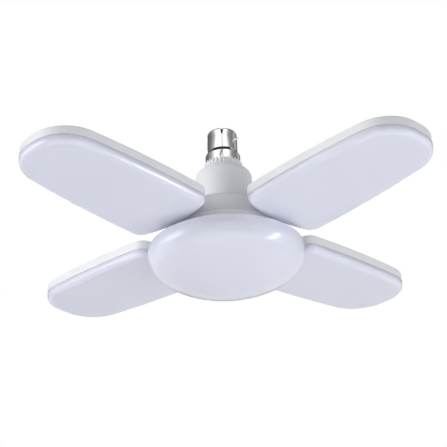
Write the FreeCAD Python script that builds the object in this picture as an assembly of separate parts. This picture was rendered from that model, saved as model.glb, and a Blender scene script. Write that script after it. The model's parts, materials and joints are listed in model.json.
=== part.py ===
"""Folding four-leaf garage light on a two-pin bayonet cap.

Millimetres. +Z is up, towards the lampholder, and the origin is the centre of the cap's rim.
The four leaves point along +X, +Y, -X and -Y, each on its own friction hinge.
Each piece is a solid, or a group of like solids, in its own file in parts/.
"""
import FreeCAD, Part
import math
import os
from FreeCAD import Vector

# ---------------------------------------------------------------- bayonet cap
cap_mouth_radius = 11.0        # plain stretch above the pins, which enters the lampholder
cap_mouth_length = 5.2
cap_body_radius = 11.2
cap_body_length = 12.4
cap_shoulder_height = 1.0
cap_skirt_radius = 13.0
cap_skirt_showing = 8.2
cap_skirt_tuck = 2.2           # stretch of skirt inside the collar
cap_wall = 0.4
cap_lip = 0.15
cap_notch_width = 2.0
cap_notch_depth = 3.4
cap_notch_pocket = 2.6         # how far the notch goes into the insulator
cap_notch_azimuth = 223.8
bayonet_pin_radius = 1.0
bayonet_pin_reach = 13.5       # pin tip, from the axis
bayonet_pin_root = 9.6
bayonet_pin_drop = 1.5         # pin centre below the plain stretch
bayonet_pin_azimuth = 102.5
insulator_thickness = 4.2
insulator_edge = 0.6           # top of the insulator's edge, above the rim
insulator_crown = 2.2          # top of the insulator's middle, above the rim
contact_radius = 1.9
contact_spacing = 11.0
contact_height = 1.0           # contact stud above the insulator
contact_tail = 1.2             # contact stud below the insulator

# ---------------------------------------------------------------- neck housing
collar_radius = 13.75
collar_foot_radius = 14.4
collar_height = 5.8
collar_bore_radius = 11.4
rib_count = 30
rib_radius = 0.65
rib_rise = 1.0                 # rib tips above the collar's edge, over the metal skirt
neck_radius = 21.0
neck_wall = 1.6
neck_height = 28.6
guide_depth = 3.6
guide_thickness = 1.6
guide_length = 12.0

# ---------------------------------------------------------------- hub bell, which carries the hinges
bell_wall = 2.2
knuckle_gap = 0.3              # between the bell and the leaves' knuckles
bell_corner = 3.0
bell_sag = 1.2                 # hollow of the bell's slope
spigot_height = 4.0
spigot_wall = 1.8
boss_radius = 3.5
boss_inset = 8.0               # screw bosses, inside the bell's wall
hub_screw_count = 4

# ---------------------------------------------------------------- leaves
leaf_count = 4
leaf_tilt = 3.77               # tips above level, as the light hangs in the photograph
leaf_inner_radius = 46.6
leaf_length = 135.3
leaf_bow_radius = 100.0        # rounded inner end
leaf_corner = 9.0
leaf_tip_corner = 28.4
leaf_tip_flat = 7.5
leaf_side_radius = 750.0       # the long sides bulge a little
leaf_side_slope = 5.8          # degrees that a side leans in where it meets the tip's corner
housing_height = 7.0
housing_wall = 1.8
housing_top = 1.8
housing_edge = 1.6
diffuser_height = 6.6
diffuser_wall = 1.5
diffuser_edge = 4.2
seam_step = 0.35               # the diffuser stands this far inside the housing's side
seam_gap = 0.3
lip_height = 2.6
lip_thickness = 1.2
lip_root = 1.5
leaf_tray_gap = 5.1            # a level leaf above the centre tray
vent_width = 2.0
vent_length = 32.0
vent_first = 30.0              # from the leaf's inner end
vent_rows = 7
vent_row_pitch = 6.0
vent_columns = 2
vent_column_pitch = 40.0

# ---------------------------------------------------------------- hinges
hinge_inset = 0.9              # axis outside the leaf's inner end
hinge_height = 3.75            # axis above the leaf's top
hinge_drop = 13.94             # axis below the neck's lower edge
knuckle_width = 14.0
knuckle_radius = 3.2
knuckle_foot = 12.0
knuckle_root = 1.0
knuckle_slope = 36.87          # degrees at which the knuckle runs into its foot
ear_width = 4.0
ear_radius = 3.3
hinge_pin_radius = 1.5
hinge_pin_groove_radius = 1.05
hinge_pin_head_radius = 2.6
hinge_pin_head = 1.2
hinge_pin_tail = 1.6
washer_thickness = 0.5
washer_radius = 2.9
clip_thickness = 0.6
clip_radius = 2.5

# ---------------------------------------------------------------- light engines
board_thickness = 1.2
board_inset = 5.5
board_corner = 2.0
board_drop = 3.6               # leaf board below the housing's top plate
chip_length = 3.5
chip_width = 2.8
chip_height = 0.8
chip_rows = 4
chip_row_pitch = 13.4
chip_columns = 9
chip_column_pitch = 12.75
chip_first_column = 15.4       # from the leaf's inner end
screw_radius = 1.0
screw_head_radius = 2.2
screw_head_height = 1.5
drive_share = 0.35             # drive hole's radius, as a share of the screw head's
drive_depth_share = 0.6        # and its depth, as a share of the head's height
leaf_boss_radius = 2.6

# ---------------------------------------------------------------- centre light
tray_overlap = 10.4            # the tray's rim, past the leaves' inner ends
tray_plate = 1.6
tray_edge = 0.5
tray_opening_radius = 8.0
sleeve_gap = 0.3               # between the leaves' inner ends and the sleeve round the bell's foot
sleeve_height = 10.3
locating_ring_height = 3.0     # ring inside the dome's rim
locating_ring_wall = 1.2
dome_depth = 28.3
dome_rim = 17.0                # the tight arc round the dome's edge
dome_wall = 1.6
centre_board_edge = 7.0        # board's edge, inside the tray's rim
centre_chip_edge = 6.0         # outer ring of chips, inside the board's edge
centre_chip_pitch = 16.0
centre_chip_counts = (12, 8, 4)
hub_screw_radius = 1.25
hub_screw_head_radius = 2.8
hub_screw_head_height = 1.8
hub_screw_grip = 6.0           # screw in the bell's boss

# ---------------------------------------------------------------- driver
driver_edge_gap = 2.9          # from the board's edge to the neck's wall
driver_height = 40.0
driver_thickness = 1.6
driver_top_gap = 8.0           # below the collar
capacitor_radius = 5.0
capacitor_length = 14.0
capacitor_rounding = 0.8
transformer_size = (16.0, 10.5, 14.0)
transformer_window = (11.2, 7.4, 8.4)
transformer_coil_radius = 6.0
transformer_coil_reach = 12.6  # front of the coil, from the board
film_capacitor_size = (9.0, 6.5, 12.0)
rectifier_size = (7.0, 2.6, 6.5)
controller_size = (5.0, 1.6, 4.0)
fuse_radius = 1.7
fuse_length = 9.5
fuse_place = 10.2              # from the board's middle
fuse_drop = 14.2               # lower end, below the board's top
driver_part_gap = 1.0          # from a part to the board's edge or middle
rectifier_drop = 19.5
controller_rise = 12.0
lead_radius = 0.6
lead_straight = 10.8           # straight stretch below a contact
lead_spread = 6.0
lead_overlap = 3.0             # soldered stretch on the driver board

# ---------------------------------------------------------------- clearances
slip_clearance = 0.05          # between pieces that are pushed together
loose_clearance = 0.2
hinge_clearance = 0.06         # hinge pin in the leaf's knuckle
face_clearance = 0.1           # each side of a friction washer

# ---------------------------------------------------------------- levels, worked out downwards from the rim
pin_level = -cap_mouth_length - bayonet_pin_drop
cap_body_end = -cap_mouth_length - cap_body_length
skirt_start = cap_body_end - cap_shoulder_height
collar_top = skirt_start - cap_skirt_showing
skirt_end = collar_top - cap_skirt_tuck
collar_end = collar_top - collar_height
neck_end = collar_end - neck_height
neck_shoulder = neck_radius - collar_foot_radius
hinge_level = neck_end - hinge_drop
leaf_top = hinge_level - hinge_height
seam_level = leaf_top - housing_height
leaf_bottom = seam_level - diffuser_height
bell_shoulder_level = hinge_level + ear_radius
tray_top = leaf_bottom - leaf_tray_gap
tray_end = tray_top - tray_plate
sleeve_top = tray_top + sleeve_height
driver_top = collar_end - driver_top_gap
driver_end = driver_top - driver_height
driver_width = 2 * (neck_radius - neck_wall - driver_edge_gap)

# ---------------------------------------------------------------- radii and places worked out from the above
hinge_radius = leaf_inner_radius + hinge_inset
bell_radius = hinge_radius - knuckle_radius - knuckle_gap
boss_circle = bell_radius - boss_inset
sleeve_radius = leaf_inner_radius - sleeve_gap
tray_radius = leaf_inner_radius + tray_overlap
dome_radius = tray_radius - seam_step
centre_board_radius = tray_radius - centre_board_edge
leaf_tip_radius = leaf_inner_radius + leaf_length
tip_centre = leaf_tip_radius - leaf_tip_corner
bow_centre = leaf_inner_radius + leaf_bow_radius
ear_start = knuckle_width / 2 + washer_thickness + 2 * face_clearance
ear_end = ear_start + ear_width
leaf_board_level = leaf_top - housing_top - board_drop

EMBED = 0.5                    # how far a joined feature reaches into its carrier
X_AXIS = Vector(1, 0, 0)
Y_AXIS = Vector(0, 1, 0)
Z_AXIS = Vector(0, 0, 1)
ORIGIN = Vector(0, 0, 0)


# ================================================================ shared shapes
def point_on_circle(centre, radius, degrees):
    """The (radius, z) point at an angle round a centre in the turning plane."""
    angle = math.radians(degrees)
    return (centre[0] + radius * math.cos(angle), centre[1] + radius * math.sin(angle))


def arc_step(centre, radius, first, last):
    """One arc of an outline: its middle and its end."""
    return (point_on_circle(centre, radius, (first + last) / 2), point_on_circle(centre, radius, last))


def direction(start, end):
    """The angle, in degrees, from one point of a plane to another."""
    return math.degrees(math.atan2(end[1] - start[1], end[0] - start[0]))


def meeting_point(centre_a, radius_a, centre_b, radius_b):
    """Where two circles meet, on the left of the line from the first centre to the second."""
    apart = math.dist(centre_a, centre_b)
    along = (apart ** 2 + radius_a ** 2 - radius_b ** 2) / (2 * apart)
    turned_by = math.degrees(math.acos(along / radius_a))
    return point_on_circle(centre_a, radius_a, direction(centre_a, centre_b) + turned_by)


def outline_edges(start, steps, place):
    """Edges through (a, b) points; a pair of points is an arc through the first to the second."""
    edges = []
    here = start
    for step in steps:
        if isinstance(step[0], tuple):
            middle, there = step
            edges.append(Part.Arc(place(here), place(middle), place(there)).toShape())
        else:
            there = step
            edges.append(Part.LineSegment(place(here), place(there)).toShape())
        here = there
    if math.dist(here, start) > 1e-6:
        edges.append(Part.LineSegment(place(here), place(start)).toShape())
    return edges


def turned(start, *steps):
    """A solid turned about Z from an outline of (radius, z) points."""
    edges = outline_edges(start, steps, lambda p: Vector(p[0], 0, p[1]))
    return Part.Face(Part.Wire(edges)).revolve(ORIGIN, Z_AXIS, 360)


def disc(radius, top, bottom):
    """A plain round disc about Z."""
    return Part.makeCylinder(radius, top - bottom, Vector(0, 0, bottom))


def rod(radius, length, start, direction=Z_AXIS):
    return Part.makeCylinder(radius, length, start, direction)


def block(size, centre, bottom):
    """A box by its size, its centre in X and Y, and its lower face."""
    return Part.makeBox(size[0], size[1], size[2],
                        Vector(centre[0] - size[0] / 2, centre[1] - size[1] / 2, bottom))


def turn(shape, degrees, centre=ORIGIN, axis=Z_AXIS):
    """A turned copy of a shape."""
    copy = shape.copy()
    copy.rotate(centre, axis, degrees)
    return copy


def around(shape, count, first=0.0):
    """Copies of a shape, evenly spaced round Z."""
    return [turn(shape, first + 360.0 * i / count) for i in range(count)]


def join(shapes):
    return shapes[0].multiFuse(shapes[1:]).removeSplitter()


def polar(radius, degrees, z):
    angle = math.radians(degrees)
    return Vector(radius * math.cos(angle), radius * math.sin(angle), z)


def wire_tube(points, radius):
    """A lead along straight runs joined by tangent arcs."""
    edges = []
    here = points[0]
    for before, corner, after in zip(points, points[1:], points[2:]):
        run_in = (before - corner).normalize()
        run_out = (after - corner).normalize()
        setback = 0.45 * min((before - corner).Length, (after - corner).Length)
        half_turn = (math.pi - run_in.getAngle(run_out)) / 2
        bend = setback / math.tan(half_turn)
        start = corner + run_in * setback
        end = corner + run_out * setback
        inward = (run_in + run_out).normalize()
        middle = corner + inward * (bend / math.cos(half_turn) - bend)
        edges.append(Part.LineSegment(here, start).toShape())
        edges.append(Part.Arc(start, middle, end).toShape())
        here = end
    edges.append(Part.LineSegment(here, points[-1]).toShape())
    section = Part.Wire(Part.makeCircle(radius, points[0], points[1] - points[0]))
    return Part.Wire(edges).makePipeShell([section], True, False)


def save(name, shape):
    """Write one node, one solid or a group of solids, to its STEP file."""
    pieces = shape if isinstance(shape, list) else [shape]
    solids = [solid for piece in pieces for solid in piece.Solids]
    if len(solids) != len(pieces) or not all(solid.isValid() and solid.Volume > 0 for solid in solids):
        print("a piece of", name, "is broken")
    result = solids[0] if len(solids) == 1 else Part.makeCompound(solids)
    result.exportStep("parts/" + name + ".step")


# ================================================================ leaf shapes, built level along +X
def leaf_outline(inset, corner, level):
    """The leaf's plan outline, drawn in by an inset: bowed inner end, bulging sides, rounded tip."""
    tip_radius = leaf_tip_corner - inset
    tip_middle = (tip_centre, leaf_tip_flat / 2)
    side = leaf_side_radius - inset
    side_middle = point_on_circle(tip_middle, leaf_side_radius - leaf_tip_corner, 270 - leaf_side_slope)
    bow = leaf_bow_radius - inset
    bow_middle = (bow_centre, 0.0)
    # the corner's centre lies one corner radius inside both the side and the bow
    corner_middle = meeting_point(side_middle, side - corner, bow_middle, bow - corner)
    bow_angle = direction(bow_middle, corner_middle)
    side_angle = direction(side_middle, corner_middle)
    tip_angle = 90.0 - leaf_side_slope
    bow_end = point_on_circle(bow_middle, bow, bow_angle)
    corner_step = arc_step(corner_middle, corner, bow_angle, side_angle)
    side_step = arc_step(side_middle, side, side_angle, tip_angle)
    tip_step = arc_step(tip_middle, tip_radius, tip_angle, 0.0)

    def mirror(point):
        return (point[0], -point[1])

    steps = [corner_step, side_step, tip_step, mirror(tip_step[1]), (mirror(tip_step[0]), mirror(side_step[1])),
             (mirror(side_step[0]), mirror(corner_step[1])), (mirror(corner_step[0]), mirror(bow_end)),
             ((bow_centre - bow, 0.0), bow_end)]
    edges = outline_edges(bow_end, steps, lambda p: Vector(p[0], p[1], level))
    return Part.Face(Part.Wire(edges))


def leaf_slab(inset, top, bottom, corner=None):
    """A slab of the leaf's plan outline between two levels."""
    if corner is None:
        corner = leaf_corner - inset
    return leaf_outline(inset, corner, bottom).extrude(Vector(0, 0, top - bottom))


def edges_at(shape, level):
    """The edges of a shape that lie wholly at one level."""
    return [e for e in shape.Edges if abs(e.BoundBox.ZMin - level) < 1e-4 and abs(e.BoundBox.ZMax - level) < 1e-4]


def leaf_screw_places():
    """Where the leaf board's screws go: between the outer chips' rows and columns."""
    first = leaf_inner_radius + chip_first_column + chip_column_pitch / 2
    last = first + chip_column_pitch * (chip_columns - 2)
    return [(x, side * chip_row_pitch) for x in (first, last) for side in (-1, 1)]


def side_plate(outline, half_width):
    """A plate across the hinge, from an outline of (x, z) points."""
    points = [Vector(x, -half_width, z) for x, z in outline]
    face = Part.Face(Part.makePolygon(points + points[:1]))
    return face.extrude(Vector(0, 2 * half_width, 0))


def hinge_rod(radius, start, end):
    """A round bar along the hinge's axis."""
    return rod(radius, end - start, Vector(hinge_radius, start, hinge_level), Y_AXIS)


def vent(x, y):
    """One cooling slot through the housing's top."""
    bottom = leaf_top - 2 * housing_top
    length = 3 * housing_top
    straight = vent_length - vent_width
    ends = [rod(vent_width / 2, length, Vector(x + shift, y, bottom)) for shift in (0, straight)]
    return join([block((straight, vent_width, length), (x + straight / 2, y), bottom)] + ends)


def vents():
    places = []
    for column in range(vent_columns):
        for row in range(vent_rows):
            places.append((leaf_inner_radius + vent_first + vent_column_pitch * column + vent_width / 2,
                           vent_row_pitch * (row - (vent_rows - 1) / 2)))
    return [vent(x, y) for x, y in places]


def leaf_housing():
    body = leaf_slab(0.0, leaf_top, seam_level)
    body = body.makeFillet(housing_edge, edges_at(body, leaf_top))
    body = body.cut(leaf_slab(housing_wall, leaf_top - housing_top, seam_level - EMBED))
    bosses = [rod(leaf_boss_radius, board_drop + EMBED, Vector(x, y, leaf_board_level))
              for x, y in leaf_screw_places()]
    foot = side_plate([(hinge_radius - knuckle_radius, hinge_level),
                       (hinge_radius, leaf_top - knuckle_root),
                       (hinge_radius + knuckle_foot, leaf_top - knuckle_root),
                       (hinge_radius + knuckle_foot, leaf_top),
                       point_on_circle((hinge_radius, hinge_level), knuckle_radius, 90 - knuckle_slope)],
                      knuckle_width / 2)
    barrel = hinge_rod(knuckle_radius, -knuckle_width / 2, knuckle_width / 2)
    body = join([body, foot, barrel] + bosses)
    body = body.cut(hinge_rod(hinge_pin_radius + hinge_clearance, -knuckle_width, knuckle_width))
    for x, y in leaf_screw_places():
        body = body.cut(rod(screw_radius + slip_clearance, board_drop, Vector(x, y, leaf_board_level)))
    return body.cut(vents())


def leaf_diffuser():
    top = seam_level - seam_gap
    body = leaf_slab(seam_step, top, leaf_bottom)
    body = body.makeFillet(diffuser_edge, edges_at(body, leaf_bottom))
    inner = seam_step + diffuser_wall
    floor = leaf_bottom + diffuser_wall
    room = leaf_slab(inner, top + EMBED, floor)
    room = room.makeFillet(diffuser_edge - diffuser_wall, edges_at(room, floor))
    lip_outer = housing_wall + loose_clearance
    lip_inner = lip_outer + lip_thickness
    lip = leaf_slab(lip_outer, seam_level + lip_height, top - lip_root)
    root = leaf_slab(inner - EMBED, top, top - lip_root)
    hollow = leaf_slab(lip_inner, seam_level + lip_height + EMBED, top - lip_root - EMBED)
    return join([body.cut(room), lip.cut(hollow), root.cut(hollow)])


def leaf_board():
    board = leaf_slab(board_inset, leaf_board_level, leaf_board_level - board_thickness, board_corner)
    for x, y in leaf_screw_places():
        hole = rod(screw_radius + loose_clearance, 3 * board_thickness,
                   Vector(x, y, leaf_board_level - 2 * board_thickness))
        board = board.cut(hole)
    return board


def leaf_chips():
    bottom = leaf_board_level - board_thickness - chip_height
    chips = []
    for column in range(chip_columns):
        x = leaf_inner_radius + chip_first_column + chip_column_pitch * column
        for row in range(chip_rows):
            y = chip_row_pitch * (row - (chip_rows - 1) / 2)
            chips.append(block((chip_length, chip_width, chip_height), (x, y), bottom))
    return chips


def screw(shank_radius, head_radius, head_height, seat, length, x=0.0, y=0.0):
    """A round-headed screw that points up, with its head below its seat."""
    head = rod(head_radius, head_height, Vector(x, y, seat - head_height))
    head = head.makeFillet(head_height * drive_depth_share, edges_at(head, seat - head_height))
    drive = rod(head_radius * drive_share, head_height * drive_depth_share, Vector(x, y, seat - head_height))
    return join([head.cut(drive), rod(shank_radius, length, Vector(x, y, seat))])


def leaf_screws():
    seat = leaf_board_level - board_thickness
    return [screw(screw_radius, screw_head_radius, screw_head_height, seat,
                  board_thickness + board_drop - slip_clearance, x, y) for x, y in leaf_screw_places()]


def hinge_pin():
    head = hinge_rod(hinge_pin_head_radius, -ear_end - hinge_pin_head, -ear_end)
    shank = hinge_rod(hinge_pin_radius, -ear_end - EMBED, ear_end + clip_thickness + hinge_pin_tail)
    groove_start = ear_end + slip_clearance
    groove = hinge_rod(hinge_pin_radius + EMBED, groove_start, groove_start + clip_thickness)
    groove = groove.cut(hinge_rod(hinge_pin_groove_radius, groove_start, groove_start + clip_thickness))
    return join([head, shank]).cut(groove)


def hinge_clip():
    start = ear_end + slip_clearance
    clip = hinge_rod(clip_radius, start, start + clip_thickness)
    clip = clip.cut(hinge_rod(hinge_pin_groove_radius + slip_clearance, start, start + clip_thickness))
    mouth = Part.makeBox(2 * clip_radius, clip_thickness, hinge_pin_radius,
                         Vector(hinge_radius, start, hinge_level - hinge_pin_radius / 2))
    return clip.cut(mouth)


def hinge_washers():
    washers = []
    for start in (knuckle_width / 2 + face_clearance, -knuckle_width / 2 - face_clearance - washer_thickness):
        outer = hinge_rod(washer_radius, start, start + washer_thickness)
        washers.append(outer.cut(hinge_rod(hinge_pin_radius + slip_clearance, start, start + washer_thickness)))
    return washers


def raised(shape):
    """A leaf's piece, turned about its hinge from level to the pose in the photograph."""
    return turn(shape, -leaf_tilt, Vector(hinge_radius, 0, hinge_level), Y_AXIS)


def all_solids(shape, change):
    """Change a solid, or each solid of a group."""
    return [change(s) for s in shape] if isinstance(shape, list) else change(shape)


# ================================================================ bayonet cap
def cap_form(inset):
    """The cap's shape, solid, drawn in by an inset."""
    top = inset
    return turned((0.0, top), (cap_mouth_radius - inset - cap_lip, top), (cap_mouth_radius - inset, top - cap_lip),
                  (cap_mouth_radius - inset, -cap_mouth_length),
                  (cap_body_radius - inset, -cap_mouth_length - cap_lip),
                  (cap_body_radius - inset, cap_body_end - inset),
                  (cap_skirt_radius - inset - cap_lip, skirt_start - inset + cap_lip),
                  (cap_skirt_radius - inset, skirt_start - inset), (cap_skirt_radius - inset, skirt_end - inset),
                  (0.0, skirt_end - inset))


def bayonet_pin(radius, rounding=0.0):
    """One bayonet pin, through the shell's wall."""
    pin = rod(radius, bayonet_pin_reach - bayonet_pin_root, Vector(bayonet_pin_root, 0, pin_level), X_AXIS)
    if rounding:
        pin = pin.makeFillet(rounding, [e for e in pin.Edges if abs(e.BoundBox.XMin - bayonet_pin_reach) < 1e-4])
    return turn(pin, bayonet_pin_azimuth)


def cap_notch(inward, width):
    """The notch in the rim, cut inwards from just outside the shell."""
    start = cap_mouth_radius + cap_wall
    reach = inward + cap_wall
    notch = block((reach, width, 2 * cap_notch_depth), (start - reach / 2, 0), -cap_notch_depth)
    return turn(notch, cap_notch_azimuth)


def bayonet_shell():
    shell = cap_form(0.0).cut(cap_form(cap_wall))
    for hole in around(bayonet_pin(bayonet_pin_radius + slip_clearance / 2), 2):
        shell = shell.cut(hole)
    return shell.cut(cap_notch(2 * cap_wall, cap_notch_width))


def bayonet_pins():
    return around(bayonet_pin(bayonet_pin_radius, bayonet_pin_radius * 0.4), 2)


def contact_stud(radius):
    """One contact stud through the insulator."""
    top = insulator_crown + contact_height
    stud = rod(radius, top + insulator_thickness + contact_tail,
               Vector(contact_spacing / 2, 0, -insulator_thickness - contact_tail))
    return stud


def cap_insulator():
    radius = cap_mouth_radius - cap_wall - slip_clearance
    rise = insulator_crown - insulator_edge
    crown_radius = (radius ** 2 + rise ** 2) / (2 * rise)
    centre = (0.0, insulator_crown - crown_radius)
    edge_angle = math.degrees(math.acos(radius / crown_radius))
    body = turned((0.0, -insulator_thickness), (radius, -insulator_thickness), (radius, insulator_edge),
                  arc_step(centre, crown_radius, edge_angle, 90.0))
    for hole in around(contact_stud(contact_radius + slip_clearance / 2), 2, bayonet_pin_azimuth - 90):
        body = body.cut(hole)
    return body.cut(cap_notch(cap_notch_pocket, cap_notch_width))


def cap_contacts():
    stud = contact_stud(contact_radius)
    stud = stud.makeFillet(contact_radius * 0.45, edges_at(stud, insulator_crown + contact_height))
    return around(stud, 2, bayonet_pin_azimuth - 90)


# ================================================================ neck and bell
def neck_form(inset):
    """The neck's shape below the collar, solid, drawn in by an inset."""
    centre = (collar_foot_radius, collar_end - neck_shoulder)
    bend = neck_shoulder - inset
    return turned((0.0, collar_end - inset), (collar_foot_radius, collar_end - inset),
                  arc_step(centre, bend, 90.0, 0.0), (neck_radius - inset, neck_end), (0.0, neck_end))


def neck_housing():
    collar = turned((0.0, collar_top), (collar_radius, collar_top), (collar_foot_radius, collar_end - EMBED),
                    (0.0, collar_end - EMBED))
    rib = rod(rib_radius, collar_height + rib_rise - rib_radius,
              Vector(collar_radius - rib_radius / 4, 0, collar_end + rib_radius))
    tip = Part.makeSphere(rib_radius, Vector(collar_radius - rib_radius / 4, 0, collar_top + rib_rise))
    ribs = around(rib.fuse(tip), rib_count)
    body = join([collar, neck_form(0.0)] + ribs)
    body = body.cut(disc(cap_skirt_radius + slip_clearance, collar_top + 3 * rib_rise, skirt_end - slip_clearance))
    body = body.cut(disc(collar_bore_radius, collar_top, collar_end - neck_wall - EMBED))
    body = body.cut(neck_form(neck_wall))
    inner = neck_radius - neck_wall
    guides = []
    for x in (-1, 1):
        for y in (-1, 1):
            slot = driver_thickness / 2 + slip_clearance + guide_thickness / 2
            guides.append(block((guide_depth, guide_thickness, guide_length), (x * (inner - guide_depth / 2), y * slot),
                                driver_top - guide_length))
    return join([body] + [g.common(disc(inner + EMBED, driver_top, driver_top - guide_length)) for g in guides])


def bell_form(inset, end):
    """The bell's shape, solid, drawn in by an inset."""
    run = bell_radius - bell_corner - neck_radius
    drop = inset * math.hypot(run, neck_end - bell_shoulder_level) / run
    start = (neck_radius, neck_end - drop)
    shoulder = (bell_radius - bell_corner, bell_shoulder_level - drop)
    middle = ((start[0] + shoulder[0]) / 2 - bell_sag / 2, (start[1] + shoulder[1]) / 2 - bell_sag)
    lower = shoulder[1] - bell_corner
    bulge = (bell_radius - inset - bell_corner * 0.2, shoulder[1] - bell_corner * 0.35)
    return turned((0.0, start[1]), start, (middle, shoulder), (bulge, (bell_radius - inset, lower)),
                  (bell_radius - inset, end), (0.0, end))


def hub_bell():
    spigot_radius = neck_radius - neck_wall - slip_clearance
    ear_outline = [(neck_radius + EMBED, hinge_level + ear_radius), (hinge_radius, hinge_level + ear_radius),
                   (hinge_radius, hinge_level - ear_radius), (neck_radius + EMBED, hinge_level - ear_radius)]
    arm = side_plate(ear_outline, ear_end).cut(side_plate(ear_outline, ear_start))
    tube = hinge_rod(ear_radius, -ear_end, ear_end).cut(hinge_rod(2 * ear_radius, -ear_start, ear_start))
    ears = around(join([arm, tube]), leaf_count)
    body = join([bell_form(0.0, tray_top), disc(spigot_radius, neck_end + spigot_height, neck_end - EMBED)] + ears)
    body = body.cut(bell_form(bell_wall, tray_top - EMBED))
    body = body.cut(disc(spigot_radius - spigot_wall, neck_end + 2 * spigot_height, tray_top))
    boss = rod(boss_radius, neck_end - tray_top, Vector(boss_circle, 0, tray_top))
    boss = boss.cut(rod(hub_screw_radius + slip_clearance, hub_screw_grip + EMBED, Vector(boss_circle, 0, tray_top)))
    bosses = [b.common(bell_form(bell_wall / 2, tray_top)) for b in around(boss, hub_screw_count, 45.0)]
    body = join([body] + bosses)
    for hole in around(hinge_rod(hinge_pin_radius + slip_clearance / 2, -2 * ear_end, 2 * ear_end), leaf_count):
        body = body.cut(hole)
    return body


# ================================================================ centre light
def hub_screw_places():
    return [polar(boss_circle, 45.0 + 360.0 * i / hub_screw_count, 0) for i in range(hub_screw_count)]


def with_screw_holes(body, top, bottom):
    """A plate with clearance holes for the hub's screws."""
    for place in hub_screw_places():
        body = body.cut(rod(hub_screw_radius + loose_clearance, top - bottom, Vector(place.x, place.y, bottom)))
    return body


def centre_tray():
    """A plate with a sleeve round the bell's foot, and a ring below that locates the dome."""
    ring_outer = (dome_radius - dome_rim + math.sqrt((dome_rim - dome_wall) ** 2 - locating_ring_height ** 2)
                  - loose_clearance)
    ring_inner = ring_outer - locating_ring_wall
    sleeve_bore = bell_radius + slip_clearance
    ring_end = tray_end - locating_ring_height
    body = turned((tray_opening_radius, tray_top), (sleeve_bore, tray_top), (sleeve_bore, sleeve_top),
                  (sleeve_radius - tray_edge, sleeve_top),
                  arc_step((sleeve_radius - tray_edge, sleeve_top - tray_edge), tray_edge, 90.0, 0.0),
                  (sleeve_radius, tray_top), (tray_radius - tray_edge, tray_top),
                  arc_step((tray_radius - tray_edge, tray_top - tray_edge), tray_edge, 90.0, 0.0),
                  (tray_radius, tray_end), (ring_outer, tray_end), (ring_outer, ring_end),
                  (ring_inner, ring_end), (ring_inner, tray_end), (tray_opening_radius, tray_end))
    return with_screw_holes(body, tray_top + EMBED, tray_end - EMBED)


def centre_board():
    board = disc(centre_board_radius, tray_end, tray_end - board_thickness)
    return with_screw_holes(board, tray_end + EMBED, tray_end - board_thickness - EMBED)


def centre_chips():
    chips = []
    for number, count in enumerate(centre_chip_counts):
        radius = centre_board_radius - centre_chip_edge - centre_chip_pitch * number
        chip = block((chip_width, chip_length, chip_height), (radius, 0), tray_end - board_thickness - chip_height)
        chips += around(chip, count)
    return chips


def hub_screws():
    seat = tray_end - board_thickness
    length = board_thickness + tray_plate + hub_screw_grip
    return [screw(hub_screw_radius, hub_screw_head_radius, hub_screw_head_height, seat, length, p.x, p.y)
            for p in hub_screw_places()]


def centre_diffuser():
    top = tray_end - seam_gap
    # a tight arc round the rim runs into a flat arc across the crown
    rim = (dome_radius - dome_rim, top)
    crown_radius = (rim[0] ** 2 + dome_depth ** 2 - dome_rim ** 2) / (2 * (dome_depth - dome_rim))
    crown = (0.0, top - dome_depth + crown_radius)
    meeting = math.degrees(math.atan2(rim[1] - crown[1], rim[0]))
    inner_crown = crown_radius - dome_wall
    return turned((dome_radius, top), arc_step(rim, dome_rim, 0.0, meeting),
                  arc_step(crown, crown_radius, meeting, -90.0), point_on_circle(crown, inner_crown, -90.0),
                  arc_step(crown, inner_crown, -90.0, meeting), arc_step(rim, dome_rim - dome_wall, meeting, 0.0))


# ================================================================ driver
def driver_board():
    return block((driver_width, driver_thickness, driver_height), (0, 0), driver_end)


def on_board(size, x, bottom, side):
    """A block that stands on one face of the driver board."""
    return block(size, (x, side * (driver_thickness / 2 + size[1] / 2)), bottom)


def driver_transformer():
    bottom = driver_end + driver_thickness
    core = on_board(transformer_size, 0, bottom, 1)
    width, depth, height = transformer_size
    coil_height = transformer_window[2]
    coil_bottom = bottom + (height - coil_height) / 2
    window = on_board(transformer_window, 0, coil_bottom, 1)
    window.translate(Vector(0, depth - transformer_window[1], 0))
    front = driver_thickness / 2 + transformer_coil_reach
    coil = rod(transformer_coil_radius, coil_height, Vector(0, front - transformer_coil_radius, coil_bottom))
    coil = coil.common(on_board((width, transformer_coil_reach, height), 0, bottom, 1))
    return join([core.cut(window), coil])


def driver_capacitor():
    x = -capacitor_radius - driver_part_gap
    y = driver_thickness / 2 + capacitor_radius + slip_clearance
    top = driver_top - driver_part_gap
    can = rod(capacitor_radius, capacitor_length, Vector(x, y, top - capacitor_length))
    return can.makeFillet(capacitor_rounding, edges_at(can, top))


def driver_fuse():
    y = -driver_thickness / 2 - fuse_radius - slip_clearance
    return rod(fuse_radius, fuse_length, Vector(fuse_place, y, driver_top - fuse_drop))


def supply_leads():
    leads = []
    face = -driver_thickness / 2 - lead_radius - slip_clearance
    for side in (-1, 1):
        stud = polar(side * contact_spacing / 2, bayonet_pin_azimuth - 90, -insulator_thickness - contact_tail)
        pad = Vector(side * lead_spread, face, driver_top - lead_overlap)
        leads.append(wire_tube([stud, stud - lead_straight * Z_AXIS, Vector(pad.x, pad.y, collar_end), pad],
                               lead_radius))
    return leads


def output_leads():
    face = -driver_thickness / 2 - lead_radius - slip_clearance
    length = driver_end + lead_overlap - tray_end
    return [rod(lead_radius, length, Vector(side * lead_spread / 2, face, tray_end)) for side in (-1, 1)]


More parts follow.
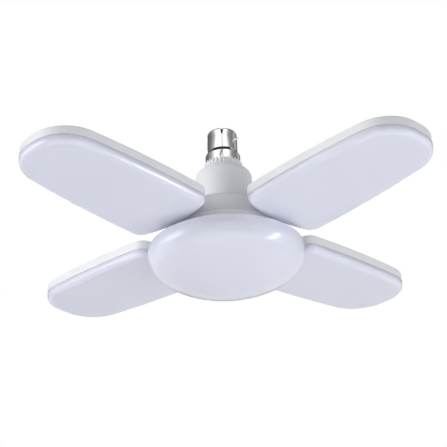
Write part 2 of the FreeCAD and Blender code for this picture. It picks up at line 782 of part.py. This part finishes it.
# ================================================================ the nodes
def main():
    os.makedirs("parts", exist_ok=True)
    save("bayonet_shell", bayonet_shell())
    save("bayonet_pins", bayonet_pins())
    save("cap_insulator", cap_insulator())
    save("cap_contacts", cap_contacts())
    save("neck_housing", neck_housing())
    save("hub_bell", hub_bell())
    save("hub_screws", hub_screws())
    save("centre_tray", centre_tray())
    save("centre_led_board", centre_board())
    save("centre_leds", centre_chips())
    save("centre_diffuser", centre_diffuser())
    save("driver_board", driver_board())
    save("driver_transformer", driver_transformer())
    save("driver_bulk_capacitor", driver_capacitor())
    save("driver_film_capacitor", on_board(film_capacitor_size, film_capacitor_size[0] / 2 + driver_part_gap,
                                           driver_top - film_capacitor_size[2] - driver_part_gap, 1))
    save("driver_rectifier", on_board(rectifier_size, 0, driver_top - rectifier_drop, -1))
    save("driver_controller", on_board(controller_size, 0, driver_end + controller_rise, -1))
    save("driver_fuse", driver_fuse())
    save("supply_leads", supply_leads())
    save("output_leads", output_leads())

    leaf_pieces = {"housing": leaf_housing(), "diffuser": leaf_diffuser(), "led_board": leaf_board(),
                   "leds": leaf_chips(), "board_screws": leaf_screws()}
    hinge_pieces = {"hinge_pin": hinge_pin(), "hinge_clip": hinge_clip(), "friction_washers": hinge_washers()}
    for number in range(leaf_count):
        azimuth = 360.0 * number / leaf_count
        prefix = "leaf_" + str(number + 1) + "_"
        for name, shape in leaf_pieces.items():
            save(prefix + name, all_solids(shape, lambda s: turn(raised(s), azimuth)))
        for name, shape in hinge_pieces.items():
            save(prefix + name, all_solids(shape, lambda s: turn(s, azimuth)))


main()
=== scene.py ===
"""Looks of the folding garage light: materials, finer shells, studio and camera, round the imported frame."""
import json
import math

import bmesh
import bpy
from mathutils import Matrix, Vector


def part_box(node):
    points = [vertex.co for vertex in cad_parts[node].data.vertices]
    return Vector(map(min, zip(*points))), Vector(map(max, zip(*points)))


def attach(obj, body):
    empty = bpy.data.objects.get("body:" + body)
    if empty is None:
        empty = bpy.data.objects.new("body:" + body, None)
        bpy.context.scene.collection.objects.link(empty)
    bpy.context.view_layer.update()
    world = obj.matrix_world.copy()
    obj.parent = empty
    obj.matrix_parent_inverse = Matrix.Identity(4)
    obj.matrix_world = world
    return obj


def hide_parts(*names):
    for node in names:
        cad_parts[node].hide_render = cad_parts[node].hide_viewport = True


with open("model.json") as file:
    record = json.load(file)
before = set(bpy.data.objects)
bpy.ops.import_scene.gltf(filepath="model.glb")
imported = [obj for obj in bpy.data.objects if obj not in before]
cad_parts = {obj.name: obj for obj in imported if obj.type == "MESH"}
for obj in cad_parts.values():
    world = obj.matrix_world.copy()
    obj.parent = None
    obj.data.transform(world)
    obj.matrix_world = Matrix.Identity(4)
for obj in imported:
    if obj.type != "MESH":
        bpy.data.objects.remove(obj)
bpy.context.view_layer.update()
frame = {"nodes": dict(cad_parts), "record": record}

MM = 0.001
WHITE = (1.0, 1.0, 1.0, 1.0)


def put_in_scene(name, data):
    """A new object made of a mesh, a camera or a light."""
    thing = bpy.data.objects.new(name, data)
    bpy.context.scene.collection.objects.link(thing)
    return thing


# ---------------------------------------------------------------- the photograph's view
VIEW_ELEVATION = 27.67       # degrees the camera looks up
VIEW_ROLL = 2.32             # the object leans this much anticlockwise in the picture
VIEW_DISTANCE = 1.212        # metres to the point in the middle of the picture
VIEW_LENS = 133.1            # for the sensor's width below, both in millimetres
VIEW_SENSOR = 36.0
VIEW_REACH = 50.0            # metres the camera sees
LEAF_TURN = 46.24            # leaf 1's azimuth, from the picture's right, seen from above
AIM = (-0.0015, 0.0, -0.0746)  # point in the middle of the picture, before the turn


def make_camera():
    """The photograph's camera; returns the turn from the picture's axes to the frame's."""
    elevation = math.radians(VIEW_ELEVATION)
    roll = math.radians(VIEW_ROLL)
    forward = Vector((0, math.cos(elevation), math.sin(elevation)))
    right = Vector((1, 0, 0))
    up = Vector((0, -math.sin(elevation), math.cos(elevation)))
    tilted_right = math.cos(roll) * right - math.sin(roll) * up
    tilted_up = math.sin(roll) * right + math.cos(roll) * up
    place = Vector(AIM) - VIEW_DISTANCE * forward
    to_row = Matrix.Rotation(math.radians(-LEAF_TURN), 4, "Z")
    pose = Matrix.Identity(4)
    for column, axis in enumerate((tilted_right, tilted_up, -forward, place)):
        for line in range(3):
            pose[line][column] = axis[line]
    data = bpy.data.cameras.new("camera")
    data.sensor_width = VIEW_SENSOR
    data.lens = VIEW_LENS
    data.clip_end = VIEW_REACH
    camera = put_in_scene("camera", data)
    camera.matrix_world = to_row @ pose
    bpy.context.scene.camera = camera
    return to_row


TO_ROW = make_camera()


# ---------------------------------------------------------------- materials
NOISE_DETAIL = 2.0
NOISE_LOW = 0.3              # nearly all of a noise texture lies between these two
NOISE_HIGH = 0.7
GLOSS_VARIATION = 0.1
GRAIN_SCALE = 2500.0
GRAIN_STRENGTH = 0.3


def new_material(name):
    """A material with its nodes, its links and its shader."""
    material = bpy.data.materials.new(name)
    material.use_nodes = True
    nodes = material.node_tree.nodes
    return material, nodes, material.node_tree.links, nodes["Principled BSDF"]


def noise(nodes, links, scale):
    """A noise in the object's own space; a larger scale is finer."""
    where = nodes.new("ShaderNodeTexCoord")
    texture = nodes.new("ShaderNodeTexNoise")
    texture.inputs["Scale"].default_value = scale
    texture.inputs["Detail"].default_value = NOISE_DETAIL
    links.new(where.outputs["Object"], texture.inputs["Vector"])
    return texture.outputs["Fac"]


def colour_from_noise(nodes, links, source, low, high):
    """A colour that goes from low to high with the noise."""
    mix = nodes.new("ShaderNodeValToRGB")
    mix.color_ramp.elements[0].position = NOISE_LOW
    mix.color_ramp.elements[1].position = NOISE_HIGH
    mix.color_ramp.elements[0].color = low
    mix.color_ramp.elements[1].color = high
    links.new(source, mix.inputs["Fac"])
    return mix.outputs["Color"]


def number_from_noise(nodes, links, source, low, high):
    """A number that goes from low to high with the noise."""
    change = nodes.new("ShaderNodeMapRange")
    change.inputs["From Min"].default_value = NOISE_LOW
    change.inputs["From Max"].default_value = NOISE_HIGH
    change.inputs["To Min"].default_value = low
    change.inputs["To Max"].default_value = high
    links.new(source, change.inputs["Value"])
    return change.outputs["Result"]


def add_grain(nodes, links, source, shader, depth):
    """A grain that moves the surface's normal but not its shape."""
    node = nodes.new("ShaderNodeBump")
    node.inputs["Strength"].default_value = GRAIN_STRENGTH
    node.inputs["Distance"].default_value = depth
    links.new(source, node.inputs["Height"])
    links.new(node.outputs["Normal"], shader.inputs["Normal"])


def shade(colour, factor):
    """A colour times a factor, with full opacity."""
    return (colour[0] * factor, colour[1] * factor, colour[2] * factor, 1.0)


def surface(name, colour, roughness, metallic=0.0, variation=0.02, patch=60.0, grain_depth=0.00002):
    """A moulded, painted or plated surface: slight patches of tone and gloss, and a fine grain."""
    material, nodes, links, shader = new_material(name)
    patches = noise(nodes, links, patch)
    tone = colour_from_noise(nodes, links, patches, shade(colour, 1 - variation), shade(colour, 1 + variation))
    gloss = number_from_noise(nodes, links, patches, roughness * (1 - GLOSS_VARIATION),
                              roughness * (1 + GLOSS_VARIATION))
    links.new(tone, shader.inputs["Base Color"])
    links.new(gloss, shader.inputs["Roughness"])
    shader.inputs["Metallic"].default_value = metallic
    add_grain(nodes, links, noise(nodes, links, GRAIN_SCALE), shader, grain_depth)
    return material


def opal_surface(name, colour, roughness, depth):
    """Opal plastic, which scatters light within a depth given in metres."""
    material = surface(name, colour, roughness, variation=0.004, patch=14.0, grain_depth=0.000001)
    shader = material.node_tree.nodes["Principled BSDF"]
    shader.subsurface_method = "BURLEY"
    shader.inputs["Subsurface Weight"].default_value = 1.0
    shader.inputs["Subsurface Radius"].default_value = (1.0, 1.0, 1.0)
    shader.inputs["Subsurface Scale"].default_value = depth
    return material


MATERIALS = {
    "cap_metal": surface("cap_metal", (0.88, 0.88, 0.88), 0.06, metallic=1.0, grain_depth=0.000001),
    "brass": surface("brass", (0.72, 0.70, 0.66), 0.25, metallic=1.0, grain_depth=0.00001),
    "solder": surface("solder", (0.55, 0.55, 0.56), 0.35, metallic=1.0, patch=900, variation=0.1),
    # Near-black insulator: painted shade, so that the dark inside the rim's notch comes from the insulator's
    # colour.
    "insulator": surface("insulator", (0.02, 0.02, 0.022), 0.15),
    "white_plastic": surface("white_plastic", (0.80, 0.808, 0.845), 0.42),
    "opal": opal_surface("opal", (0.68, 0.695, 0.81), 0.19, 0.006),
    "led_board": surface("led_board", (0.85, 0.85, 0.84), 0.4),
    "led_chip": surface("led_chip", (0.86, 0.72, 0.2), 0.3),
    "steel": surface("steel", (0.6, 0.6, 0.61), 0.3, metallic=1.0, patch=400, variation=0.08),
    "washer": surface("washer", (0.42, 0.42, 0.43), 0.35, metallic=1.0, patch=400, variation=0.08),
    "circuit_board": surface("circuit_board", (0.55, 0.42, 0.2), 0.5, variation=0.06),
    "ferrite": surface("ferrite", (0.12, 0.12, 0.13), 0.6, variation=0.1),
    "capacitor_sleeve": surface("capacitor_sleeve", (0.04, 0.04, 0.06), 0.25),
    "film_capacitor": surface("film_capacitor", (0.7, 0.5, 0.06), 0.35),
    "black_epoxy": surface("black_epoxy", (0.03, 0.03, 0.03), 0.5),
    "fuse_body": surface("fuse_body", (0.2, 0.32, 0.26), 0.5),
    "lead_sleeve": surface("lead_sleeve", (0.7, 0.7, 0.68), 0.5),
}
# The hub's bell: the neck's white plastic darkened, as painted shade for the leaves' shadow on it.
BELL_PAINTED_SHADE_PLASTIC = surface("bell_plastic_painted_shade", (0.66, 0.664, 0.71), 0.42)  # a shade greyer than the neck's


def dress_frame():
    """Each CAD node gets its slot's material; the hub's bell instead gets a darker copy of the white plastic,
    which is painted shade.
    """
    slots = {entry["node"]: entry["material_slot"] for entry in frame["record"]["subparts"]}
    for name, node in frame["nodes"].items():
        material = BELL_PAINTED_SHADE_PLASTIC if name == "hub_bell" else MATERIALS[slots[name]]
        if not node.material_slots:
            node.data.materials.append(material)
        for slot in node.material_slots:
            slot.material = material


dress_frame()


# ---------------------------------------------------------------- turned pieces
SHARP_ANGLE = 40.0           # degrees between two faces, above which their edge stays sharp
SAME_POINT = 1e-7            # metres within which a shell's points become one
ROUND_SEGMENTS = 240         # of a plain turned shell, all the way round
FINE_ARC = 30                # steps of a long arc in an outline


def level(node, end):
    """The lowest (0) or highest (1) Z of a CAD node, in millimetres."""
    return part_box(node)[end][2] / MM


def arc(centre, radius, first, last, count=8):
    """Points of an outline along an arc, from the first to the last angle in degrees."""
    points = []
    for step in range(count + 1):
        angle = math.radians(first + (last - first) * step / count)
        points.append((centre[0] + radius * math.cos(angle), centre[1] + radius * math.sin(angle)))
    return points


def steps_between(start, end, count):
    """Evenly spaced points of an outline from a start to an end, with both of them."""
    return [(start[0] + (end[0] - start[0]) * i / count, start[1] + (end[1] - start[1]) * i / count)
            for i in range(count + 1)]


def share(height, span):
    """How far a height has come along a span, from 0 to 1."""
    return min(1.0, max(0.0, height / span))


def lathe(name, outline, segments, slot, change=None):
    """A turned shell from a closed outline of (radius, z) in millimetres; change moves a point by its angle."""
    verts = []
    faces = []
    count = len(outline)
    for turn in range(segments):
        angle = 2 * math.pi * turn / segments
        for radius, z in outline:
            if change:
                radius, z = change(radius, z, angle)
            verts.append((radius * math.cos(angle) * MM, radius * math.sin(angle) * MM, z * MM))
    for turn in range(segments):
        here = turn * count
        there = (turn + 1) % segments * count
        for i in range(count):
            j = (i + 1) % count
            faces.append((here + i, here + j, there + j, there + i))
    mesh = bpy.data.meshes.new(name)
    mesh.from_pydata(verts, [], faces)
    form = bmesh.new()
    form.from_mesh(mesh)
    bmesh.ops.remove_doubles(form, verts=form.verts, dist=SAME_POINT)
    bmesh.ops.recalc_face_normals(form, faces=form.faces)
    form.to_mesh(mesh)
    form.free()
    mesh.shade_smooth()
    mesh.set_sharp_from_angle(angle=math.radians(SHARP_ANGLE))
    mesh.materials.append(MATERIALS[slot])
    piece = put_in_scene(name, mesh)
    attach(piece, "hub")
    return piece


CAP_WALL = 0.4
CAP_MOUTH = 11.0             # outer radius of the plain stretch that enters the lampholder
CAP_BODY = 11.2              # outer radius of the body below it
CAP_SKIRT = 13.0             # outer radius of the skirt at the collar
CAP_MOUTH_END = -5.2
CAP_BODY_END = -15.5
CAP_SKIRT_START = -19.0
CAP_SWAGE = 0.4              # height in which the mouth widens to the body
CAP_SWAGE_INSIDE = 0.6       # the same on the wall's inside
CAP_FILLET = 0.5             # between the body and the coned shoulder
CAP_ROUND = 0.4              # between the shoulder and the skirt
CAP_SLOPE = 31.0             # degrees that the shoulder leans outwards
CAP_BEND_INSIDE = 0.4        # the wall's inside bends this far below the body's end
CAP_FOOT_INSIDE = 0.7        # and this far below the skirt's start
CAP_NOTCH_WIDTH = 2.2
CAP_NOTCH_DEPTH = 4.3
CAP_NOTCH_STRAIGHT = 0.6     # depth from which the notch narrows
CAP_NOTCH_POINT = 0.45       # width at the notch's bottom, as a share of the width at the rim
CAP_NOTCH_AZIMUTH = 223.8    # towards the camera
CUTTER_RISE = 1.0            # the notch's cutter stands this far above the rim
CUTTER_REACH = 2.0           # and this far to either side of the mouth's radius


def cap_shell():
    """The plated shell: rolled lip, a slight swage below it, and a coned shoulder down to the skirt."""
    end = level("bayonet_shell", 0)
    lip = CAP_WALL / 2
    outer = arc((CAP_MOUTH - lip, -lip), lip, 180, 0)
    outer += [(CAP_MOUTH, CAP_MOUTH_END), (CAP_BODY, CAP_MOUTH_END - CAP_SWAGE), (CAP_BODY, CAP_BODY_END)]
    outer += arc((CAP_BODY + CAP_FILLET, CAP_BODY_END), CAP_FILLET, 180, 180 + CAP_SLOPE)[1:]
    outer += arc((CAP_SKIRT - CAP_ROUND, CAP_SKIRT_START), CAP_ROUND, CAP_SLOPE, 0)
    outer += [(CAP_SKIRT, end)]
    inner = [(CAP_SKIRT - CAP_WALL, end), (CAP_SKIRT - CAP_WALL, CAP_SKIRT_START - CAP_FOOT_INSIDE),
             (CAP_BODY - CAP_WALL, CAP_BODY_END - CAP_BEND_INSIDE),
             (CAP_BODY - CAP_WALL, CAP_MOUTH_END - CAP_SWAGE_INSIDE), (CAP_MOUTH - CAP_WALL, CAP_MOUTH_END)]
    shell = lathe("cap_shell", outer + inner, ROUND_SEGMENTS, "cap_metal")
    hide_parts("bayonet_shell")
    cut_notch(shell)


def cut_notch(shell):
    """A narrowing notch in the rim, on the side that the photograph shows."""
    half = CAP_NOTCH_WIDTH / 2
    tip = half * CAP_NOTCH_POINT
    profile = [(-half, CUTTER_RISE), (half, CUTTER_RISE), (half, -CAP_NOTCH_STRAIGHT), (tip, -CAP_NOTCH_DEPTH),
               (-tip, -CAP_NOTCH_DEPTH), (-half, -CAP_NOTCH_STRAIGHT)]
    azimuth = math.radians(CAP_NOTCH_AZIMUTH)
    outward = Vector((math.cos(azimuth), math.sin(azimuth), 0)) * MM
    across = Vector((-math.sin(azimuth), math.cos(azimuth), 0)) * MM
    up = Vector((0, 0, MM))
    form = bmesh.new()
    rings = []
    for reach in (CAP_MOUTH - CUTTER_REACH, CAP_MOUTH + CUTTER_REACH):
        rings.append([form.verts.new(outward * reach + across * x + up * z) for x, z in profile])
    form.faces.new(rings[0])
    form.faces.new(rings[1][::-1])
    for i in range(len(profile)):
        j = (i + 1) % len(profile)
        form.faces.new((rings[0][i], rings[1][i], rings[1][j], rings[0][j]))
    bmesh.ops.recalc_face_normals(form, faces=form.faces)
    mesh = bpy.data.meshes.new("notch")
    form.to_mesh(mesh)
    form.free()
    cutter = put_in_scene("notch", mesh)
    change = shell.modifiers.new("notch", "BOOLEAN")
    change.operation = "DIFFERENCE"
    change.object = cutter
    bpy.context.view_layer.objects.active = shell
    bpy.ops.object.modifier_apply(modifier=change.name)
    bpy.data.objects.remove(cutter)


RIB_COUNT = 30
RIB_WIDTH = 1.5
RIB_DEPTH = 0.5
RIB_RISE = 1.0               # of a rib's crest above the collar's top
RIB_TOP = 0.6                # height over which that rise grows
RIB_FOOT = 0.4               # the ribs start this far above the collar's foot
RIB_FADE = 2.4               # and reach their depth over this height
SEGMENTS_PER_RIB = 14
COLLAR_TOP_RADIUS = 13.75
COLLAR_FOOT_RADIUS = 14.4
COLLAR_HEIGHT = 5.8
COLLAR_ROUND = 0.3           # of the collar's top edge
COLLAR_CLEARANCE = 0.05      # round the cap's skirt
BLEND_RADIUS = 0.9           # of the hollow between the collar and the neck's shoulder
BLEND_TURN = 82              # degrees
SHOULDER_TURN = 78           # degrees that the neck's shoulder turns
SHOULDER_TURN_INSIDE = 86
NECK_RADIUS = 21.0
NECK_WALL = 1.6
NECK_ROW = 1.0               # the wall's first row of points is this far below the shoulder
NECK_CHAMFER = 0.3


def neck_shell():
    """The neck: a ribbed collar that flares into a plain cylinder."""
    end = level("neck_housing", 0)
    top = level("neck_housing", 1) - RIB_RISE
    foot = top - COLLAR_HEIGHT
    bend = NECK_RADIUS - COLLAR_FOOT_RADIUS
    shoulder = (NECK_RADIUS - bend, foot - bend)
    bore = CAP_SKIRT + COLLAR_CLEARANCE
    outer = [(bore, top)]
    outer += arc((COLLAR_TOP_RADIUS - COLLAR_ROUND, top - COLLAR_ROUND), COLLAR_ROUND, 90, 0, 4)
    outer += steps_between((COLLAR_TOP_RADIUS, top - RIB_TOP), (COLLAR_FOOT_RADIUS, foot + BLEND_RADIUS), 10)
    outer += arc((COLLAR_FOOT_RADIUS + BLEND_RADIUS, foot + BLEND_RADIUS), BLEND_RADIUS, 180, 180 + BLEND_TURN)[1:]
    outer += arc(shoulder, bend, SHOULDER_TURN, 0, 20)
    outer += steps_between((NECK_RADIUS, foot - bend - NECK_ROW), (NECK_RADIUS, end + NECK_CHAMFER), 4)
    outer += [(NECK_RADIUS - NECK_CHAMFER, end)]
    inner = [(NECK_RADIUS - NECK_WALL, end)]
    inner += arc(shoulder, bend - NECK_WALL, 0, SHOULDER_TURN_INSIDE, 12)
    inner += [(bore, foot - NECK_WALL)]
    pitch = 2 * math.pi / RIB_COUNT

    def ribbed(radius, z, angle):
        off = abs((angle + pitch / 2) % pitch - pitch / 2) * COLLAR_TOP_RADIUS * 2 / RIB_WIDTH
        if off >= 1 or z < foot or radius <= bore:
            return radius, z
        crest = math.sqrt(1 - off * off)
        fade = share(z - foot - RIB_FOOT, RIB_FADE)
        rise = RIB_RISE * crest * share(z - top + RIB_TOP, RIB_TOP)
        return radius + RIB_DEPTH * crest * math.sqrt(fade), z + rise

    shell = lathe("neck_shell", outer + inner, RIB_COUNT * SEGMENTS_PER_RIB, "white_plastic", ribbed)
    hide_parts("neck_housing")


TRAY_PLATE = 1.6
SKIRT_RISE = 0.9             # above the tray's plate, clear of the leaves when they are level
SKIRT_ROUND = 0.5
SKIRT_PROUD = 0.02           # past the plate's own edge, which it covers
DOME_SEAM = 0.3              # the solid dome starts this far below the tray
DOME_RIM = 17.0              # the tight arc round the dome's edge
DOME_WALL = 1.6


def centre_cover():
    """The opal dome in one piece with the skirt that clips round the tray's edge."""
    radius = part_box("centre_tray")[1][0] / MM + SKIRT_PROUD
    bottom = level("centre_diffuser", 0)
    rim = (radius - DOME_RIM, level("centre_diffuser", 1))
    top = rim[1] + DOME_SEAM + TRAY_PLATE + SKIRT_RISE
    depth = rim[1] - bottom
    crown_radius = (rim[0] ** 2 + depth ** 2 - DOME_RIM ** 2) / (2 * (depth - DOME_RIM))
    crown = (0.0, bottom + crown_radius)
    meeting = math.degrees(math.atan2(rim[1] - crown[1], rim[0]))
    outline = arc((radius - DOME_WALL + SKIRT_ROUND, top - SKIRT_ROUND), SKIRT_ROUND, 180, 90)
    outline += arc((radius - SKIRT_ROUND, top - SKIRT_ROUND), SKIRT_ROUND, 90, 0)
    outline += arc(rim, DOME_RIM, 0, meeting, FINE_ARC)
    outline += arc(crown, crown_radius, meeting, -90, FINE_ARC)[1:]
    outline += arc(crown, crown_radius - DOME_WALL, -90, meeting, FINE_ARC)
    outline += arc(rim, DOME_RIM - DOME_WALL, meeting, 0, FINE_ARC)[1:]
    cover = lathe("centre_cover", outline, ROUND_SEGMENTS, "opal")
    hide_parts("centre_diffuser")


# ---------------------------------------------------------------- leaf covers
SEAM_STEP = 0.35             # a solid cover stands this far inside its housing's side
COVER_STEP = 0.18            # what its moulded cover keeps of that step
COVER_LIFT = 0.27            # the moulded cover is this much nearer to the housing, which leaves a hairline


def moulded_cover(node, body, slot):
    """An opal cover swelled in its own plane and lifted until its seam against the housing is a hairline."""
    source = frame["nodes"][node].data
    low = Vector([min(v.co[axis] for v in source.vertices) for axis in range(3)])
    high = Vector([max(v.co[axis] for v in source.vertices) for axis in range(3)])
    centre = (low + high) / 2
    swell = 2 * (SEAM_STEP - COVER_STEP) * MM
    lift = Matrix.Translation((0, 0, COVER_LIFT * MM))
    stretch = Matrix.Diagonal((1 + swell / (high.x - low.x), 1 + swell / (high.y - low.y), 1, 1))
    mesh = source.copy()
    mesh.transform(lift @ Matrix.Translation(centre) @ stretch @ Matrix.Translation(-centre))
    mesh.materials.clear()
    mesh.materials.append(MATERIALS[slot])
    cover = put_in_scene(node.replace("diffuser", "cover"), mesh)
    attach(cover, body)
    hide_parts(node)


cap_shell()
neck_shell()
centre_cover()
for number in range(1, 5):
    moulded_cover(f"leaf_{number}_diffuser", f"leaf_{number}", "opal")


# ---------------------------------------------------------------- studio
FLOOR_LEVEL = -2.4
FLOOR_WIDTH = 60.0
FLOOR_COLOUR = (0.9, 0.9, 0.9, 1.0)
FLOOR_ROUGHNESS = 0.8
FLOOR_GLOW = 0.5             # what the camera and reflections see of the floor, beside the light that falls on it
WORLD_ON_OBJECT = 0.45       # the world's light on the object; to the camera and in reflections it is 1
LIT_POINT = Vector((0, 0, -0.08))
LAMPS = (                    # name, place in the picture's axes, size, watts, whether reflections show it
    ("key", (-1.5, -0.3, 0.15), (0.9, 1.2), 15.0, True),
    ("under", (-0.1, -0.6, -1.3), (1.6, 1.6), 7.8, True),
    ("side", (1.33, -0.3, -0.75), (0.16, 0.9), 8.0, True),
    ("top", (-0.6, 0.6, 1.5), (1.2, 1.2), 9.0, False))


def flat_plate(name, width, height, material):
    """A square plate that lies level at a height, as part of the stage."""
    half = width / 2
    mesh = bpy.data.meshes.new(name)
    mesh.from_pydata([(-half, -half, 0), (half, -half, 0), (half, half, 0), (-half, half, 0)], [], [(0, 1, 2, 3)])
    mesh.materials.append(material)
    plate = put_in_scene(name, mesh)
    plate.location = (0, 0, height)
    return plate


def seen_or_not(nodes, links, unseen, seen):
    """A number that is one value to the camera, in gloss and through glass, and another for the light itself."""
    path = nodes.new("ShaderNodeLightPath")
    mark = path.outputs["Is Camera Ray"]
    for kind in ("Is Glossy Ray", "Is Transmission Ray"):
        either = nodes.new("ShaderNodeMath")
        either.operation = "MAXIMUM"
        links.new(mark, either.inputs[0])
        links.new(path.outputs[kind], either.inputs[1])
        mark = either.outputs[0]
    strength = nodes.new("ShaderNodeMapRange")
    strength.inputs["To Min"].default_value = unseen
    strength.inputs["To Max"].default_value = seen
    links.new(mark, strength.inputs["Value"])
    return strength.outputs["Result"]


def make_floor():
    """A wide pale floor below the light, which glows a little to the camera."""
    material, nodes, links, shader = new_material("floor")
    shader.inputs["Base Color"].default_value = FLOOR_COLOUR
    shader.inputs["Roughness"].default_value = FLOOR_ROUGHNESS
    shader.inputs["Emission Color"].default_value = WHITE
    links.new(seen_or_not(nodes, links, 0.0, FLOOR_GLOW), shader.inputs["Emission Strength"])
    flat_plate("floor", FLOOR_WIDTH, FLOOR_LEVEL, material)


def make_world():
    """White to the camera and in reflections, an even grey light on the object."""
    world = bpy.data.worlds.new("studio")
    world.use_nodes = True
    bpy.context.scene.world = world
    nodes = world.node_tree.nodes
    links = world.node_tree.links
    background = nodes["Background"]
    background.inputs["Color"].default_value = WHITE
    links.new(seen_or_not(nodes, links, WORLD_ON_OBJECT, 1.0), background.inputs["Strength"])


def make_lamp(name, place, size, power, reflected):
    """A soft oblong lamp at a place in the picture's axes, turned to the light."""
    data = bpy.data.lights.new(name, "AREA")
    data.shape = "RECTANGLE"
    data.size = size[0]
    data.size_y = size[1]
    data.energy = power
    lamp = put_in_scene(name, data)
    where = TO_ROW @ Vector(place)
    lamp.location = where
    lamp.rotation_euler = (LIT_POINT - where).to_track_quat("-Z", "Y").to_euler()
    lamp.visible_glossy = reflected


# ---------------------------------------------------------------- reflections in the plated cap
DRUM_RADIUS = 1.0
DRUM_LOW = 0.05
DRUM_HIGH = 1.7
DRUM_STEP = 5                # degrees from one edge of the drum to the next
DRUM_STRENGTH = 1.2
DRUM_FRONT = 0.25            # the radial gradient's value on the camera's side
DRUM_TONES = (               # azimuth from the camera's side, rightwards in the picture, and grey
    (-180, 0.10), (-150, 0.10), (-110, 0.16), (-84, 0.30), (-66, 0.62), (-56, 0.98),
    (-4, 0.98), (-2.5, 0.45), (2.5, 0.45), (4, 0.98),
    (38, 0.98), (54, 0.42), (66, 0.24), (90, 0.19), (106, 0.19), (116, 0.36), (140, 0.34), (150, 0.10))
DARK_STRENGTH = 0.03
SLANT_RADIUS = 0.99          # just inside the drum
SLANT_CORNERS = ((-24, 0.553), (-13, 0.553), (-5, 0.60), (6, 0.60))  # azimuths as above, and heights


def glow(name, strength):
    """A card's even white light."""
    material = bpy.data.materials.new(name)
    material.use_nodes = True
    nodes = material.node_tree.nodes
    nodes.remove(nodes["Principled BSDF"])
    emission = nodes.new("ShaderNodeEmission")
    emission.inputs["Color"].default_value = WHITE
    emission.inputs["Strength"].default_value = strength
    material.node_tree.links.new(emission.outputs["Emission"], nodes["Material Output"].inputs["Surface"])
    return material


def only_in_reflections(card):
    """Hides a card from everything but gloss."""
    card.visible_camera = False
    card.visible_diffuse = False
    card.visible_shadow = False
    card.visible_transmission = False
    card.visible_volume_scatter = False


def curved_card(name, corners, material, radius):
    """A card bent round the light's axis, from (azimuth, height) corners in the picture's axes, in rows of two."""
    verts = []
    for azimuth, height in corners:
        angle = math.radians(azimuth - 90)
        verts.append((radius * math.cos(angle), radius * math.sin(angle), height))
    faces = [(i, i + 2, i + 3, i + 1) for i in range(0, len(corners) - 2, 2)]
    mesh = bpy.data.meshes.new(name)
    mesh.from_pydata(verts, [], faces)
    mesh.materials.append(material)
    card = put_in_scene(name, mesh)
    card.matrix_world = TO_ROW
    only_in_reflections(card)


def drum_material():
    """White light that is dimmed to each tone round the drum."""
    material = glow("drum", DRUM_STRENGTH)
    nodes = material.node_tree.nodes
    links = material.node_tree.links
    where = nodes.new("ShaderNodeTexCoord")
    sweep = nodes.new("ShaderNodeTexGradient")
    sweep.gradient_type = "RADIAL"
    tones = nodes.new("ShaderNodeValToRGB")
    elements = tones.color_ramp.elements
    elements.remove(elements[1])
    elements[0].position = 1.0
    for azimuth, grey in DRUM_TONES:
        element = elements.new((azimuth / 360 + DRUM_FRONT) % 1)
        element.color = (grey, grey, grey, 1.0)
    ends = sorted(elements, key=lambda e: e.position)
    ends[-1].color = ends[0].color
    links.new(where.outputs["Object"], sweep.inputs["Vector"])
    links.new(sweep.outputs["Fac"], tones.inputs["Fac"])
    links.new(tones.outputs["Color"], nodes["Emission"].inputs["Color"])
    return material


def make_reflection_drum():
    """Grey and white cards all round, as a product studio has for plated parts, seen only in reflections."""
    corners = [(azimuth, height) for azimuth in range(0, 361, DRUM_STEP) for height in (DRUM_LOW, DRUM_HIGH)]
    curved_card("drum", corners, drum_material(), DRUM_RADIUS)
    dark = glow("card_dark", DARK_STRENGTH)
    only_in_reflections(flat_plate("drum_lid", 2 * DRUM_RADIUS, DRUM_HIGH, dark))
    curved_card("slanted_card", SLANT_CORNERS, dark, SLANT_RADIUS)


make_floor()
make_world()
make_reflection_drum()
for lamp_values in LAMPS:
    make_lamp(*lamp_values)
bpy.context.scene.view_settings.view_transform = "Standard"
